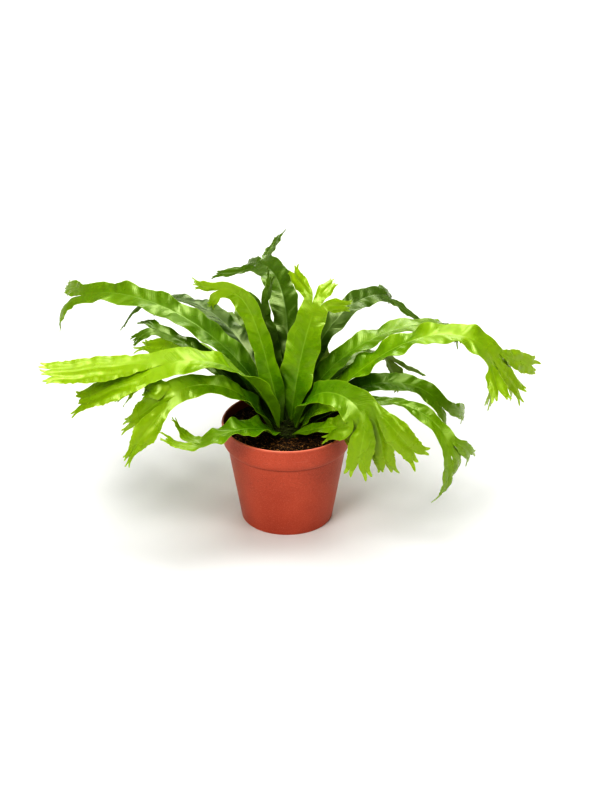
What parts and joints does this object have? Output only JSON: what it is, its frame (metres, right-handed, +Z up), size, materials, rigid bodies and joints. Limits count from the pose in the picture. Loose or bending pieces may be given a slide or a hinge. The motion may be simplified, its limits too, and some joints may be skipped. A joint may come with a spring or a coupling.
{
  "type": "potted crested fern",
  "caption": "Potted fern with a rosette of strap-shaped, wavy-edged fronds whose tips fork into crests, in a round nursery pot.",
  "frame": {"origin": "centre of the underside of the pot's foot", "axes": "+Z up, the fullest view of the rosette is from -Y, +X to that view's right"},
  "size_m": [0.4623, 0.261, 0.2293],
  "materials": {
    "pot": "satin",
    "soil": "matte",
    "leaf_young": "satin",
    "leaf_mid": "satin",
    "leaf_old": "satin",
    "crown": "matte"
  },
  "bodies": {
    "root": {"pot": "pot", "soil": "soil", "frond_01": "leaf_young", "frond_02": "leaf_young", "frond_03": "leaf_old", "frond_04": "leaf_mid", "frond_05": "leaf_old", "frond_06": "leaf_young", "frond_07": "leaf_old", "frond_08": "leaf_old", "frond_09": "leaf_old", "frond_10": "leaf_mid", "frond_11": "leaf_young", "frond_12": "leaf_young", "frond_13": "leaf_young", "frond_14": "leaf_young", "frond_15": "leaf_young", "frond_16": "leaf_young", "frond_17": "leaf_young", "frond_18": "leaf_mid", "frond_19": "leaf_mid", "frond_20": "leaf_mid", "frond_21": "leaf_mid", "frond_22": "leaf_mid", "frond_23": "leaf_mid", "crown": "crown"}
  },
  "joints": []
}
